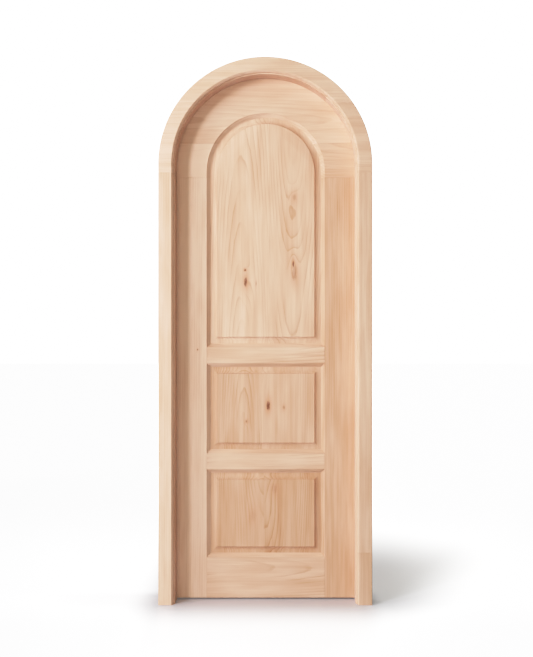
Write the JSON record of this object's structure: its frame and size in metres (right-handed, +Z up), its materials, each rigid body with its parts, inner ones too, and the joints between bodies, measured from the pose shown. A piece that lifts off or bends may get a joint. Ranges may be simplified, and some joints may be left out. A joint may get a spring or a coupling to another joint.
{
  "type": "arched wooden door with frame",
  "caption": "Round-topped frame-and-panel wooden door hung on butt hinges in a rabbeted jamb with a flat casing; raised panels, raw alder.",
  "frame": {"origin": "on the floor, under the middle of the whole door set's box", "axes": "+X to the hinge side, which is the right as seen from the casing; +Y through the doorway, from the casing side to the side the leaf opens to; +Z up"},
  "size_m": [0.8162, 0.1484, 2.0904],
  "materials": {
    "jamb_alder": "raw, sanded",
    "casing_alder": "raw, sanded",
    "stile_alder": "raw, sanded",
    "rail_alder": "raw, sanded",
    "arch_rail_alder": "raw, sanded",
    "panel_alder": "raw, sanded",
    "dowel_beech": "raw",
    "hinge_steel": "satin",
    "screw_steel": "satin",
    "nail_steel": "bright"
  },
  "bodies": {
    "frame": {"jamb_leg_left": "jamb_alder", "jamb_leg_right": "jamb_alder", "jamb_haunch_left": "jamb_alder", "jamb_haunch_right": "jamb_alder", "jamb_crown": "jamb_alder", "jamb_dowels": "dowel_beech", "casing_leg_left": "casing_alder", "casing_leg_right": "casing_alder", "casing_foot_right": "casing_alder", "casing_haunch_left": "casing_alder", "casing_haunch_right": "casing_alder", "casing_crown": "casing_alder", "casing_dowels": "dowel_beech", "casing_nails": "nail_steel", "hinge_top_jamb_plate": "hinge_steel", "hinge_middle_jamb_plate": "hinge_steel", "hinge_bottom_jamb_plate": "hinge_steel", "hinge_top_pin": "hinge_steel", "hinge_middle_pin": "hinge_steel", "hinge_bottom_pin": "hinge_steel", "hinge_jamb_screws": "screw_steel"},
    "leaf": {"hinge_top_leaf_plate": "hinge_steel", "hinge_middle_leaf_plate": "hinge_steel", "hinge_bottom_leaf_plate": "hinge_steel", "hinge_leaf_screws": "screw_steel", "stile_left": "stile_alder", "stile_right": "stile_alder", "arch_rail_haunch_left": "arch_rail_alder", "arch_rail_haunch_right": "arch_rail_alder", "arch_rail_crown": "arch_rail_alder", "lock_rail": "rail_alder", "middle_rail": "rail_alder", "bottom_rail": "rail_alder", "top_panel_left_board": "panel_alder", "top_panel_right_board": "panel_alder", "middle_panel_left_board": "panel_alder", "middle_panel_right_board": "panel_alder", "bottom_panel_left_board": "panel_alder", "bottom_panel_right_board": "panel_alder", "arch_rail_dowels": "dowel_beech", "lock_rail_dowels": "dowel_beech", "middle_rail_dowels": "dowel_beech", "bottom_rail_dowels": "dowel_beech"}
  },
  "joints": [
    {"name": "leaf_swing", "type": "hinge", "parent": "frame", "child": "leaf", "pos_m": [0.3571, 0.06775, 0.879], "axis": [0, 0, -1], "range_deg": [0, 170]}
  ]
}
